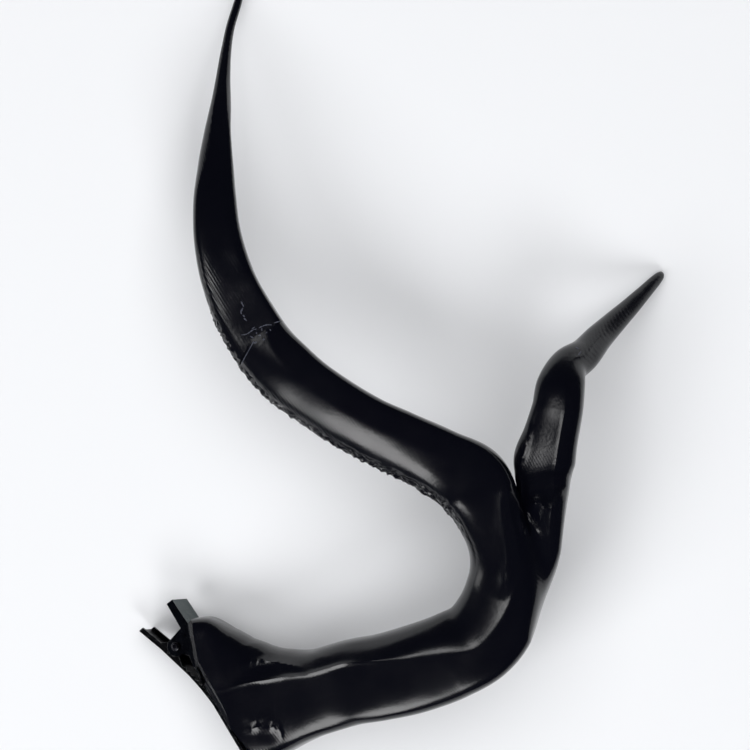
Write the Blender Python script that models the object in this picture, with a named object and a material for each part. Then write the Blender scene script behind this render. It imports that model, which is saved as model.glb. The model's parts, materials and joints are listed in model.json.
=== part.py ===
"""Branched costume horn on a sprung hair clip, lying on its side on a table.

Metres. +X runs across the horn from its foot to the tine, +Y runs along it from the foot to the tip of the
long beam, and +Z is up from the table. The origin is the middle of the whole thing's box, on the table.
"""
from collections import namedtuple
from math import cos, floor, pi, radians, sin

import bmesh
import bpy
from mathutils import Matrix, Vector

# Horn
HORN_SPAN = 0.161          # from the foot's edge across to the tine's tip
HORN_RISE = 0.272          # from the foot's lower lobe along to the beam's tip
ARCH_HEIGHT = 0.046        # the highest centre line above the table
NECK_WIDTH = 0.030         # the neck, seen from above
NECK_DEPTH = 0.027         # the neck, seen from the side
TINE_WIDTH = 0.019         # the tine, seen from above
TINE_DEPTH = 0.016         # the tine, seen from the side
GLUE_GAP = 0.0003          # left between glued pieces and round the pin

# Clip, in its own flat frame: along the jaw from the pin, then away from the head
CLIP_REACH = 0.046         # pin to jaw tip
TAB_REACH = 0.014          # pin to the end of the upper finger tab
LOWER_TAB_REACH = 0.0126   # pin to the end of the lower finger tab
CLIP_RISE = 0.0084         # pin to the outer face of the upper arm at its bend
CLIP_DROP = 0.0096         # pin down to the end of the lower finger tab
CLIP_WIDTH = 0.010         # across the upper arm's ears
SHEET = 0.0006             # metal of both arms
JAW_SEAT = 0.0019          # outer face of the upper jaw above the pin's axis
JAW_CLOSE = 0.0003         # between the closed jaws
PIN_RADIUS = 0.0009
PIN_HEAD_RADIUS = 0.0015
PIN_HEAD = 0.0006          # height of each pin head
PIN_CROWN = 0.0009         # radius of the flat on top of a pin head
EAR_RADIUS = 0.0035        # round end of the ears about the pin
THROAT_FROM = 0.0054       # pin to where the upper ear runs out along the jaw
THROAT_DEPTH = 0.0016      # depth of the upper ear's side wall there
TEETH_FROM = 0.0067        # pin to the first tooth
TAB_WEB = 0.0046           # pin to where the lower tab's side wall meets its ear
TAB_FLANGE = 0.0024        # depth of the upper tab's side walls
LOWER_FLANGE = 0.0013      # depth of the lower tab's side walls
TOOTH_PITCH = 0.0022
TOOTH_HEIGHT = 0.0010
TEETH = 5
SPRING_WIRE = 0.0008
SPRING_TURNS = 4
SPRING_LEG = 0.0032        # reach of the spring's short legs from the pin
SPRING_START = radians(150)  # where round the pin the coil begins

# How the clip sits under the foot
PIN_ACROSS = -0.020        # share of the horn's span
PIN_ALONG = 0.162          # share of the horn's rise
PIN_LIFT = 0.272           # share of the arch height
CLIP_TURN = radians(55.3)  # the jaw's slant in the clip's own plane
CLIP_TILT = radians(28.0)  # lean of the pin from upright
FOOT_RECESS = 0.0011       # hollow in the foot above the jaw's throat
RECESS_FROM = 0.0108       # the hollow's place along the jaw, from the pin
RECESS_TO = 0.0163
RIM_ROUND = 0.0030         # rounding of the foot's rim beside the clip, outwards
RIM_RISE = 0.0030          # and upwards
RIM_TOP = 0.0036           # how far up the rim's cutter reaches

# Faces
MAIN_SIDES = 20
TINE_SIDES = 16
RINGS_PER_ROW = 2
ROUND_SIDES = 16
WIRE_SIDES = 6
COIL_STEPS = 12            # points in one turn of the spring
CUT_REACH = 0.060          # how far the foot's cutter runs past the clip, each way

SEAM_ROW = 24.15           # row of MAIN at which the beam's tip is glued on

Station = namedtuple("Station", "across along lift wide deep crest fall_left left fall_right right flat")

# Centre line and section of the foot, neck, trunk and beam. across and along are shares of the span and the
# rise, lift of the arch height, wide and deep of the neck's width and depth. crest is where the top ridge
# stands across the section, from -1 at its left to 1 at its right, looking along the horn. On each side of it
# the top falls away by a share of half the depth, and left and right say how square that side's shoulder is,
# from 0 for a straight facet to 1 for a corner. flat is how square the underside is.
MAIN = [
    Station(0.000, 0.078, 0.27, 2.12, 1.00, -0.28, 0.16, 1.02, 0.02, 0.90, 0.80),
    Station(0.040, 0.085, 0.28, 2.10, 1.01, -0.24, 0.18, 1.02, 0.02, 0.90, 0.80),
    Station(0.078, 0.089, 0.30, 2.00, 1.01, -0.20, 0.20, 1.00, 0.02, 0.90, 0.78),
    Station(0.108, 0.0915, 0.32, 1.70, 1.00, -0.24, 0.22, 0.85, 0.02, 0.90, 0.74),
    Station(0.142, 0.0935, 0.35, 1.44, 0.98, -0.32, 0.24, 0.66, 0.02, 1.00, 0.68),
    Station(0.181, 0.096, 0.39, 1.26, 0.95, -0.40, 0.26, 0.62, 0.05, 1.04, 0.60),
    Station(0.225, 0.101, 0.45, 1.09, 0.92, -0.48, 0.28, 0.60, 0.09, 1.04, 0.55),
    Station(0.276, 0.108, 0.53, 0.97, 0.90, -0.52, 0.28, 0.60, 0.08, 1.04, 0.55),
    Station(0.341, 0.120, 0.62, 0.96, 0.90, -0.50, 0.26, 0.60, 0.04, 1.06, 0.55),
    Station(0.409, 0.128, 0.71, 0.97, 0.92, -0.46, 0.20, 0.52, 0.04, 1.08, 0.55),
    Station(0.478, 0.139, 0.79, 0.99, 0.94, -0.36, 0.12, 0.54, 0.03, 1.08, 0.55),
    Station(0.548, 0.155, 0.86, 0.98, 0.96, -0.18, 0.08, 0.55, 0.02, 1.08, 0.55),
    Station(0.606, 0.175, 0.92, 0.96, 0.98, 0.05, 0.16, 0.50, 0.02, 1.06, 0.55),
    Station(0.645, 0.208, 0.96, 0.94, 0.98, 0.10, 0.22, 0.52, 0.03, 1.04, 0.55),
    Station(0.660, 0.247, 0.98, 0.86, 0.95, 0.22, 0.26, 0.56, 0.03, 1.00, 0.55),
    Station(0.652, 0.288, 1.00, 0.73, 0.88, 0.26, 0.16, 0.62, 0.03, 1.00, 0.55),
    Station(0.628, 0.330, 1.00, 0.76, 0.84, 0.32, 0.09, 0.72, 0.03, 0.96, 0.55),
    Station(0.591, 0.370, 1.00, 0.86, 0.83, 0.35, 0.06, 0.78, 0.03, 0.96, 0.55),
    Station(0.524, 0.395, 0.99, 0.77, 0.78, 0.22, 0.14, 0.64, 0.03, 1.08, 0.55),
    Station(0.440, 0.419, 0.98, 0.73, 0.75, 0.14, 0.20, 0.52, 0.02, 1.08, 0.55),
    Station(0.372, 0.438, 0.97, 0.71, 0.73, 0.12, 0.22, 0.50, 0.02, 1.08, 0.55),
    Station(0.306, 0.461, 0.95, 0.71, 0.72, 0.10, 0.21, 0.50, 0.02, 1.08, 0.55),
    Station(0.247, 0.485, 0.93, 0.71, 0.71, 0.10, 0.20, 0.52, 0.02, 1.08, 0.55),
    Station(0.195, 0.511, 0.91, 0.73, 0.70, 0.06, 0.18, 0.56, 0.03, 1.06, 0.55),
    Station(0.152, 0.541, 0.89, 0.69, 0.68, 0.30, 0.12, 0.70, 0.05, 0.90, 0.55),
    Station(0.118, 0.573, 0.87, 0.67, 0.65, 0.80, 0.16, 0.98, 0.07, 0.95, 0.55),
    Station(0.089, 0.608, 0.85, 0.62, 0.61, 0.77, 0.16, 1.00, 0.07, 0.95, 0.55),
    Station(0.068, 0.645, 0.82, 0.58, 0.57, 0.64, 0.15, 1.00, 0.07, 0.95, 0.55),
    Station(0.055, 0.685, 0.78, 0.53, 0.52, 0.58, 0.12, 0.98, 0.07, 0.95, 0.55),
    Station(0.051, 0.725, 0.72, 0.48, 0.46, 0.54, 0.10, 0.92, 0.07, 0.95, 0.55),
    Station(0.052, 0.765, 0.64, 0.40, 0.39, 0.48, 0.05, 0.78, 0.07, 0.95, 0.55),
    Station(0.055, 0.805, 0.55, 0.31, 0.32, 0.50, 0.06, 0.70, 0.07, 0.95, 0.55),
    Station(0.062, 0.843, 0.46, 0.23, 0.25, 0.55, 0.08, 0.64, 0.14, 0.40, 0.55),
    Station(0.066, 0.878, 0.365, 0.165, 0.19, 0.40, 0.09, 0.60, 0.12, 0.45, 0.55),
    Station(0.071, 0.910, 0.275, 0.125, 0.145, 0.30, 0.10, 0.55, 0.10, 0.50, 0.55),
    Station(0.079, 0.940, 0.185, 0.102, 0.115, 0.20, 0.10, 0.55, 0.10, 0.50, 0.55),
    Station(0.093, 0.970, 0.105, 0.094, 0.100, 0.10, 0.07, 0.55, 0.07, 0.55, 0.55),
    Station(0.102, 0.989, 0.052, 0.070, 0.075, 0.00, 0.05, 0.55, 0.05, 0.55, 0.55),
    Station(0.107, 0.999, 0.022, 0.028, 0.030, 0.00, 0.02, 0.55, 0.02, 0.55, 0.55),
]

# The same for the tine, from inside the trunk to its tip; wide and deep are shares of the tine's sizes
TINE = [
    Station(0.660, 0.190, 0.90, 0.70, 0.70, 0.10, 0.05, 0.55, 0.05, 0.55, 0.55),
    Station(0.695, 0.228, 0.93, 0.82, 0.86, 0.10, 0.05, 0.55, 0.05, 0.60, 0.55),
    Station(0.720, 0.262, 0.99, 0.78, 0.92, 0.40, 0.14, 0.55, 0.04, 0.90, 0.55),
    Station(0.728, 0.290, 1.02, 0.84, 0.98, 0.35, 0.24, 0.55, 0.03, 0.90, 0.55),
    Station(0.734, 0.322, 1.03, 0.84, 1.02, 0.35, 0.32, 0.52, 0.03, 0.90, 0.55),
    Station(0.739, 0.358, 1.00, 0.92, 1.05, 0.35, 0.40, 0.50, 0.02, 0.85, 0.55),
    Station(0.740, 0.380, 0.965, 1.02, 1.05, 0.35, 0.38, 0.50, 0.02, 0.84, 0.55),
    Station(0.744, 0.401, 0.955, 1.10, 1.04, 0.35, 0.38, 0.50, 0.02, 0.84, 0.55),
    Station(0.757, 0.430, 0.955, 0.98, 1.00, 0.30, 0.36, 0.52, 0.02, 0.84, 0.55),
    Station(0.770, 0.461, 0.955, 0.91, 0.96, 0.25, 0.30, 0.56, 0.02, 0.84, 0.55),
    Station(0.777, 0.489, 0.91, 0.87, 0.92, 0.14, 0.14, 0.60, 0.03, 0.82, 0.55),
    Station(0.793, 0.513, 0.81, 0.70, 0.82, 0.00, 0.12, 0.60, 0.08, 0.64, 0.55),
    Station(0.827, 0.528, 0.68, 0.60, 0.72, 0.00, 0.12, 0.62, 0.14, 0.75, 0.55),
    Station(0.863, 0.551, 0.52, 0.50, 0.60, 0.05, 0.12, 0.62, 0.16, 0.72, 0.55),
    Station(0.909, 0.577, 0.36, 0.39, 0.46, 0.10, 0.12, 0.60, 0.16, 0.70, 0.55),
    Station(0.953, 0.602, 0.215, 0.29, 0.32, 0.10, 0.12, 0.58, 0.14, 0.65, 0.55),
    Station(0.981, 0.619, 0.120, 0.23, 0.23, 0.05, 0.10, 0.55, 0.10, 0.50, 0.55),
    Station(0.996, 0.628, 0.065, 0.17, 0.16, 0.00, 0.05, 0.55, 0.05, 0.55, 0.55),
    Station(1.001, 0.632, 0.036, 0.09, 0.08, 0.00, 0.02, 0.55, 0.02, 0.55, 0.55),
]

# Outer faces of the clip's arms, pin to tip, as shares of their reach and of their rise or drop
UPPER_BENDS = [(-1.00, 0.94), (-0.29, 1.00)]          # tab, in tab reaches and clip rises
UPPER_SLOPE = [(0.076, 0.63), (0.217, 0.31)]          # shoulder, in clip reaches and clip rises
LOWER_BENDS = [(-1.00, -1.00), (-0.23, -0.625)]       # tab, in lower tab reaches and clip drops
LOWER_SLOPE = [(0.109, -0.375), (0.233, -0.195), (0.370, -0.055)]
SEAT_FROM = 0.37           # share of the reach from which the upper arm lies level
JAW_FROM = 0.52            # share of the reach from which the jaws lie together
UPPER_EAR = (10, -145, 8)  # the ears' round ends: first and last angle in degrees, and points
LOWER_EAR = (-25, 205, 10)


def clear_scene():
    """Take everything out of the open file."""
    for item in list(bpy.data.objects):
        bpy.data.objects.remove(item, do_unlink=True)


def make_material(name, colour, roughness, metallic):
    """A plain Principled material."""
    material = bpy.data.materials.new(name)
    material.use_nodes = True
    shader = material.node_tree.nodes["Principled BSDF"]
    shader.inputs["Base Color"].default_value = (*colour, 1.0)
    shader.inputs["Roughness"].default_value = roughness
    shader.inputs["Metallic"].default_value = metallic
    return material


def add_object(name, mesh, material):
    """A shown object with the given mesh and its own material."""
    item = bpy.data.objects.new(name, mesh)
    bpy.context.collection.objects.link(item)
    mesh.materials.append(material)
    mesh.shade_smooth()
    mesh.set_sharp_from_angle(angle=radians(32))
    return item


def mesh_from_rings(name, rings):
    """A closed skin over rings of equally many points, with flat ends."""
    shell = bmesh.new()
    loops = [[shell.verts.new(point) for point in ring] for ring in rings]
    for near, far in zip(loops, loops[1:]):
        count = len(near)
        for i in range(count):
            j = (i + 1) % count
            shell.faces.new((near[i], near[j], far[j], far[i]))
    shell.faces.new(list(reversed(loops[0])))
    shell.faces.new(loops[-1])
    bmesh.ops.recalc_face_normals(shell, faces=shell.faces)
    mesh = bpy.data.meshes.new(name)
    shell.to_mesh(mesh)
    shell.free()
    return mesh


def blend_rows(table, place):
    """The station at a place between rows, on a smooth curve through the rows."""
    last = len(table) - 1
    row = min(max(int(floor(place)), 0), last - 1)
    t = place - row
    before, start, end, after = (table[min(max(k, 0), last)] for k in range(row - 1, row + 3))
    values = []
    for p0, p1, p2, p3 in zip(before, start, end, after):
        bend = 2 * p0 - 5 * p1 + 4 * p2 - p3
        twist = 3 * (p1 - p2) + p3 - p0
        values.append(p1 + 0.5 * t * (p2 - p0 + t * (bend + t * twist)))
    return Station(*values)


def horn_point(station):
    """Where a station's centre lies."""
    return Vector((station.across * HORN_SPAN, station.along * HORN_RISE, station.lift * ARCH_HEIGHT))


def bezier(start, leave, arrive, end, t):
    """A point of a cubic curve in the plane."""
    s = 1 - t
    weights = (s * s * s, 3 * s * s * t, 3 * s * t * t, t * t * t)
    points = (start, leave, arrive, end)
    return tuple(sum(w * p[axis] for w, p in zip(weights, points)) for axis in (0, 1))


def outline(station, half_wide, half_deep, sides):
    """Section of the horn: right side, ridged top, left side and squared underside."""
    per_quarter = sides // 4
    crest = station.crest * half_wide
    right, left = (half_wide, 0.0), (-half_wide, 0.0)
    top, bottom = (crest, half_deep), (0.0, -half_deep)
    roofs = []
    for side, full, fall in ((right, station.right, station.fall_right), (left, station.left, station.fall_left)):
        shoulder = (side[0], half_deep * full)
        eave = (crest + (side[0] - crest) * full, half_deep * (1 - fall))
        roofs.append((side, shoulder, eave, top))
    under = [(side, (side[0], -half_deep * station.flat), (side[0] * station.flat, -half_deep), bottom)
             for side in (left, right)]
    steps = [i / per_quarter for i in range(per_quarter)]
    points = [bezier(*roofs[0], t) for t in steps]
    points += [bezier(*roofs[1], 1 - t) for t in steps]
    points += [bezier(*under[0], t) for t in steps]
    points += [bezier(*under[1], 1 - t) for t in steps]
    return points


def ring_at(table, place, width, depth, sides):
    """The ring of points of a branch's section at a place in its table, and the branch's direction there."""
    station = blend_rows(table, place)
    step = 0.05
    ahead = horn_point(blend_rows(table, min(place + step, len(table) - 1)))
    behind = horn_point(blend_rows(table, max(place - step, 0)))
    forward = (ahead - behind).normalized()
    side = forward.cross(Vector((0, 0, 1))).normalized()
    up = side.cross(forward)
    centre = horn_point(station)
    section = outline(station, station.wide * width / 2, station.deep * depth / 2, sides)
    return [centre + side * u + up * v for u, v in section], forward


def branch_rings(table, first, last, width, depth, sides):
    """Rings from one place of a table to another, at every row and between."""
    start = floor(first * RINGS_PER_ROW) + 1
    stop = int(-(-last * RINGS_PER_ROW // 1))
    places = [first] + [k / RINGS_PER_ROW for k in range(start, stop)] + [last]
    return [ring_at(table, place, width, depth, sides)[0] for place in places]


def prism(name, profile, low, high):
    """A closed plate: a flat outline carried from one height to another."""
    rings = [[Vector((x, y, z)) for x, y in profile] for z in (low, high)]
    return mesh_from_rings(name, rings)


def scratch_object(name, mesh):
    """A helper that the build leaves out."""
    item = bpy.data.objects.new(name, mesh)
    bpy.context.collection.objects.link(item)
    item.hide_render = True
    item.display_type = "WIRE"
    return item


def combine(target, helper, operation):
    """Apply a Boolean of a helper to an object and remove the helper."""
    modifier = target.modifiers.new(operation.lower(), "BOOLEAN")
    modifier.operation = operation
    modifier.solver = "EXACT"
    modifier.object = helper
    graph = bpy.context.evaluated_depsgraph_get()
    mesh = bpy.data.meshes.new_from_object(target.evaluated_get(graph))
    target.modifiers.clear()
    old = target.data
    target.data = mesh
    mesh.name = target.name
    bpy.data.objects.remove(helper, do_unlink=True)
    bpy.data.meshes.remove(old)


def clip_frame():
    """From the clip's flat frame to the horn's: the pin stands at the origin along Z."""
    pin = Vector((PIN_ACROSS * HORN_SPAN, PIN_ALONG * HORN_RISE, PIN_LIFT * ARCH_HEIGHT))
    turn = Matrix.Rotation(-CLIP_TURN, 4, "Z")
    tilt = Matrix.Rotation(-CLIP_TILT, 4, "Y")
    return Matrix.Translation(pin) @ tilt @ turn


def upper_face():
    """Outer face of the upper arm, from the tab's end to the jaw's tip."""
    points = [(TAB_REACH * x, CLIP_RISE * y) for x, y in UPPER_BENDS]
    points += [(CLIP_REACH * x, CLIP_RISE * y) for x, y in UPPER_SLOPE]
    points += [(CLIP_REACH * x, JAW_SEAT) for x in (SEAT_FROM, JAW_FROM, 1.0)]
    return points


def lower_face():
    """Outer face of the lower arm, from the tab's end to the jaw's tip."""
    seat = JAW_SEAT - 2 * SHEET - JAW_CLOSE
    points = [(LOWER_TAB_REACH * x, CLIP_DROP * y) for x, y in LOWER_BENDS]
    points += [(CLIP_REACH * x, CLIP_DROP * y) for x, y in LOWER_SLOPE]
    points += [(CLIP_REACH * x, seat) for x in (JAW_FROM, 1.0)]
    return points


def offset_line(points, distance):
    """A bent line moved sideways, to the left of its run, with its bends kept parallel."""
    moved = []
    for i, (x, y) in enumerate(points):
        before = Vector(points[max(i - 1, 0)])
        here = Vector((x, y))
        after = Vector(points[min(i + 1, len(points) - 1)])
        runs = [run.normalized() for run in (here - before, after - here) if run.length > 0]
        mean = sum(runs, Vector((0, 0))).normalized()
        stretch = 1 / max(mean.dot(runs[0]), 0.5)
        normal = Vector((-mean.y, mean.x))
        moved.append(tuple(here + normal * distance * stretch))
    return moved


def height_on(points, x):
    """Height of a bent line at one place along it."""
    for (x0, y0), (x1, y1) in zip(points, points[1:]):
        if x0 <= x <= x1:
            return y0 + (y1 - y0) * (x - x0) / (x1 - x0)
    return points[-1][1]


def arc_points(radius, start, end, count):
    """Points on an arc about the pin, angles in degrees."""
    angles = [radians(start + (end - start) * i / (count - 1)) for i in range(count)]
    return [(radius * cos(a), radius * sin(a)) for a in angles]


def upper_ear():
    """Side wall of the upper arm: tab flange, round ear about the pin and a short run along the jaw."""
    middle = offset_line(upper_face(), -SHEET / 2)
    top = middle[:4]
    jaw_end = top[3]
    tab_end = (top[0][0], top[0][1] - TAB_FLANGE)
    tab_root = (top[1][0], top[1][1] - TAB_FLANGE - SHEET)
    throat = (THROAT_FROM, height_on(middle, THROAT_FROM) - THROAT_DEPTH)
    ear = arc_points(EAR_RADIUS, *UPPER_EAR)
    return top + [(jaw_end[0], jaw_end[1] - SHEET), throat] + ear + [tab_root, tab_end]


def lower_ear():
    """Side wall of the lower arm: tab flange, round ear about the pin and the toothed run."""
    inner = offset_line(lower_face(), SHEET)
    middle = offset_line(lower_face(), SHEET / 2)
    last_tooth = TEETH_FROM + TEETH * TOOTH_PITCH
    bottom = middle[:5]
    bottom = [point for point in bottom if point[0] < last_tooth]
    bottom.append((last_tooth, height_on(middle, last_tooth)))
    top = []
    for tooth in range(TEETH):
        x = last_tooth - tooth * TOOTH_PITCH
        top.append((x, height_on(inner, x) + SHEET / 4))
        peak = x - TOOTH_PITCH / 2
        top.append((peak, height_on(inner, peak) + TOOTH_HEIGHT))
    top.append((TEETH_FROM, height_on(inner, TEETH_FROM) + SHEET / 4))
    ear = arc_points(EAR_RADIUS - GLUE_GAP, *LOWER_EAR)
    tab_root = (-TAB_WEB, height_on(inner, -TAB_WEB) + LOWER_FLANGE)
    tab_end = (inner[0][0], inner[0][1] + LOWER_FLANGE)
    return bottom + top + ear + [tab_root, tab_end]


def clip_arm(name, face, thickness, ear, half_width, material):
    """One arm of the clip: a bent strip with two side walls and holes for the pin."""
    strip = face + list(reversed(offset_line(face, thickness)))
    arm = add_object(name, prism(name, strip, -half_width, half_width), material)
    for low in (-half_width, half_width - SHEET):
        wall = scratch_object("wall", prism("wall", ear, low, low + SHEET))
        combine(arm, wall, "UNION")
    hole = [(x, y) for x, y in arc_points(PIN_RADIUS + GLUE_GAP, 0, 360, ROUND_SIDES + 1)][:-1]
    drill = scratch_object("drill", prism("drill", hole, -CLIP_WIDTH, CLIP_WIDTH))
    combine(arm, drill, "DIFFERENCE")
    arm.data.transform(clip_frame())
    return arm


def turned(profile):
    """Rings about the pin's axis from (radius, height) pairs."""
    angles = [2 * pi * i / ROUND_SIDES for i in range(ROUND_SIDES)]
    return [[Vector((r * cos(a), r * sin(a), z)) for a in angles] for r, z in profile]


def make_pin(material):
    """The pin, with a domed head outside each ear of the upper arm."""
    face = CLIP_WIDTH / 2 + GLUE_GAP
    head = [(PIN_RADIUS, face), (PIN_HEAD_RADIUS, face), (PIN_HEAD_RADIUS, face + PIN_HEAD / 2),
            (PIN_CROWN, face + PIN_HEAD)]
    profile = [(r, -z) for r, z in reversed(head)] + head
    pin = add_object("clip_pin", mesh_from_rings("clip_pin", turned(profile)), material)
    pin.data.transform(clip_frame())


def make_spring(material):
    """The coiled spring round the pin, with two short legs."""
    coil = PIN_RADIUS + GLUE_GAP + SPRING_WIRE / 2
    pitch = SPRING_WIRE + GLUE_GAP
    height = SPRING_TURNS * pitch
    steps = SPRING_TURNS * COIL_STEPS
    path = []
    for i in range(steps + 1):
        angle = SPRING_START + 2 * pi * i / COIL_STEPS
        path.append(Vector((coil * cos(angle), coil * sin(angle), -height / 2 + height * i / steps)))
    for end, direction in ((0, 1), (-1, -1)):
        point = path[end]
        outward = Vector((point.x, point.y, 0)).normalized()
        tangent = Vector((outward.y, -outward.x, 0)) * direction
        tip = point + tangent * (SPRING_LEG ** 2 - coil ** 2) ** 0.5
        path.insert(0 if end == 0 else len(path), tip)
    rings = []
    for i, point in enumerate(path):
        run = (path[min(i + 1, len(path) - 1)] - path[max(i - 1, 0)]).normalized()
        side = run.cross(Vector((0, 0, 1))).normalized()
        up = side.cross(run)
        angles = [2 * pi * k / WIRE_SIDES for k in range(WIRE_SIDES)]
        rings.append([point + (side * cos(a) + up * sin(a)) * SPRING_WIRE / 2 for a in angles])
    spring = add_object("clip_spring", mesh_from_rings("clip_spring", rings), material)
    spring.data.transform(clip_frame())


def foot_cutter():
    """All that the foot must leave free: the clip's upper arm, a gap, and the head's side below it."""
    line = offset_line(upper_face()[1:], GLUE_GAP)
    wall = line[0][0]
    throat = [(x, y) for x, y in line if x < RECESS_FROM][1:]
    recess = [(x, height_on(line, x) + FOOT_RECESS) for x in (RECESS_FROM, RECESS_TO)]
    rest = [(x, y) for x, y in line if x > RECESS_TO]
    profile = [(wall, CUT_REACH), line[0]] + throat + recess + rest
    profile += [(line[-1][0] + CUT_REACH, line[-1][1]), (line[-1][0] + CUT_REACH, -CUT_REACH)]
    profile += [(wall - CUT_REACH, -CUT_REACH), (wall - CUT_REACH, CUT_REACH)]
    cutter = scratch_object("foot_cutter", prism("foot_cutter", profile, -CUT_REACH, CUT_REACH))
    cutter.data.transform(clip_frame())
    return cutter


def rim_cutter():
    """What rounds the foot's rim back to the near side of the clip, along the upper arm's face."""
    edge = CLIP_WIDTH / 2 + GLUE_GAP
    face = offset_line(upper_face()[1:], GLUE_GAP)
    bend = [(RIM_RISE * sin(a), RIM_ROUND * (1 - cos(a))) for a in (0, radians(30), radians(60))]
    places = [(face[0][0] - CUT_REACH, face[0][1])] + face + [(face[-1][0] + CUT_REACH, face[-1][1])]
    rings = []
    for x, height in places:
        profile = [(height - CUT_REACH, edge)] + [(height + up, edge + out) for up, out in bend]
        profile += [(height + RIM_TOP, edge + RIM_ROUND), (height + RIM_TOP, edge + CUT_REACH)]
        profile += [(height - CUT_REACH, edge + CUT_REACH)]
        rings.append([Vector((x, up, out)) for up, out in profile])
    cutter = scratch_object("rim_cutter", mesh_from_rings("rim_cutter", rings))
    cutter.data.transform(clip_frame())
    return cutter


def make_horn(material):
    """Foot, neck, trunk, tine and lower beam as one printed solid."""
    rings = branch_rings(MAIN, 0, SEAM_ROW, NECK_WIDTH, NECK_DEPTH, MAIN_SIDES)
    horn = add_object("horn", mesh_from_rings("horn", rings), material)
    tine_rings = branch_rings(TINE, 0, len(TINE) - 1, TINE_WIDTH, TINE_DEPTH, TINE_SIDES)
    combine(horn, scratch_object("tine", mesh_from_rings("tine", tine_rings)), "UNION")
    combine(horn, foot_cutter(), "DIFFERENCE")
    combine(horn, rim_cutter(), "DIFFERENCE")


def make_beam_tip(material):
    """Upper half of the beam, a gap's width past the glue seam."""
    first, forward = ring_at(MAIN, SEAM_ROW, NECK_WIDTH, NECK_DEPTH, MAIN_SIDES)
    rings = branch_rings(MAIN, SEAM_ROW, len(MAIN) - 1, NECK_WIDTH, NECK_DEPTH, MAIN_SIDES)
    rings[0] = [point + forward * GLUE_GAP for point in first]
    add_object("beam_tip", mesh_from_rings("beam_tip", rings), material)


def stand_on_origin():
    """Move every shown piece so that the whole stands on the origin."""
    shown = [item for item in bpy.data.objects if item.type == "MESH" and not item.hide_render]
    corners = [vertex.co for item in shown for vertex in item.data.vertices]
    low = [min(corner[axis] for corner in corners) for axis in range(3)]
    high = [max(corner[axis] for corner in corners) for axis in range(3)]
    shift = Vector((-(low[0] + high[0]) / 2, -(low[1] + high[1]) / 2, -low[2]))
    for item in shown:
        item.data.transform(Matrix.Translation(shift))


def main():
    clear_scene()
    make_horn(make_material("black_print", (0.006, 0.006, 0.009), 0.32, 0.0))
    make_beam_tip(make_material("black_print_tip", (0.006, 0.006, 0.009), 0.32, 0.0))
    upper = make_material("upper_arm_metal", (0.05, 0.055, 0.055), 0.38, 0.9)
    lower = make_material("lower_jaw_metal", (0.09, 0.09, 0.09), 0.35, 0.9)
    clip_arm("clip_upper_arm", upper_face(), -SHEET, upper_ear(), CLIP_WIDTH / 2, upper)
    lower_half = CLIP_WIDTH / 2 - SHEET - GLUE_GAP
    clip_arm("clip_lower_jaw", lower_face(), SHEET, lower_ear(), lower_half, lower)
    make_pin(make_material("pin_metal", (0.3, 0.3, 0.3), 0.3, 0.9))
    make_spring(make_material("spring_metal", (0.12, 0.12, 0.12), 0.3, 0.9))
    stand_on_origin()


main()
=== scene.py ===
"""Looks of the horn on its hair clip: glossy black printed plastic and worn black metal on a pale table.

Metres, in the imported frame: +X across the horn, +Y along it and +Z up from the table.
"""
import json
from collections import namedtuple
from math import cos, pi, radians, sin

import bmesh
import bpy
import numpy as np
from mathutils import Matrix, Vector, noise
from mathutils.bvhtree import BVHTree

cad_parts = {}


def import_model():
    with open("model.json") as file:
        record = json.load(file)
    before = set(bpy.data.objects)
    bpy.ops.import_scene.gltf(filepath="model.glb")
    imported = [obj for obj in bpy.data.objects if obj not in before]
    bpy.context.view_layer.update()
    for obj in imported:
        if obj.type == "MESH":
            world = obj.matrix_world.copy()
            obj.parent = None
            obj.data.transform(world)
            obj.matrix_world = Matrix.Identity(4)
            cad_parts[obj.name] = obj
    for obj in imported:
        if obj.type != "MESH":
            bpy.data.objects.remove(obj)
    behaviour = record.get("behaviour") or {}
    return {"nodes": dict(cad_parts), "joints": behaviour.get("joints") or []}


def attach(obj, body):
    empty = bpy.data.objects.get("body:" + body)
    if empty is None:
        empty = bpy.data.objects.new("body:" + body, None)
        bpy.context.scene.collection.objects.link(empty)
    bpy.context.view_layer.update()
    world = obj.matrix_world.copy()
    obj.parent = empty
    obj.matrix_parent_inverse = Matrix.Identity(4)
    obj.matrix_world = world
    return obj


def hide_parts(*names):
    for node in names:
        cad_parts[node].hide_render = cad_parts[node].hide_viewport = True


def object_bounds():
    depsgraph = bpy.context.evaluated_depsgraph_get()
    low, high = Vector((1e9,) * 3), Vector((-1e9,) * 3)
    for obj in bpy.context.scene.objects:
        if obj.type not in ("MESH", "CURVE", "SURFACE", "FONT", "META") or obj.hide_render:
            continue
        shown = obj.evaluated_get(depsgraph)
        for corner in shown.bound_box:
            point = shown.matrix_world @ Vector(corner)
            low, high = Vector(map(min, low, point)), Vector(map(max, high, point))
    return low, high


# Horn, with the same sizes and tables as its solids, whose sections have no soft column
HORN_SPAN = 0.161
HORN_RISE = 0.272
ARCH_HEIGHT = 0.046
NECK_WIDTH = 0.030
NECK_DEPTH = 0.027
TINE_WIDTH = 0.019
TINE_DEPTH = 0.016
GLUE_GAP = 0.0003
SEAM_ROW = 24              # row of MAIN beside the glue seam
LIP_HEIGHT = 0.0004        # raised line on the neck's crest
LIP_REACH = 0.0014
LIP_ROWS = 10              # rows of MAIN that the line runs over
LIP_FADE = 2               # rows of MAIN over which it dies out

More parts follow.
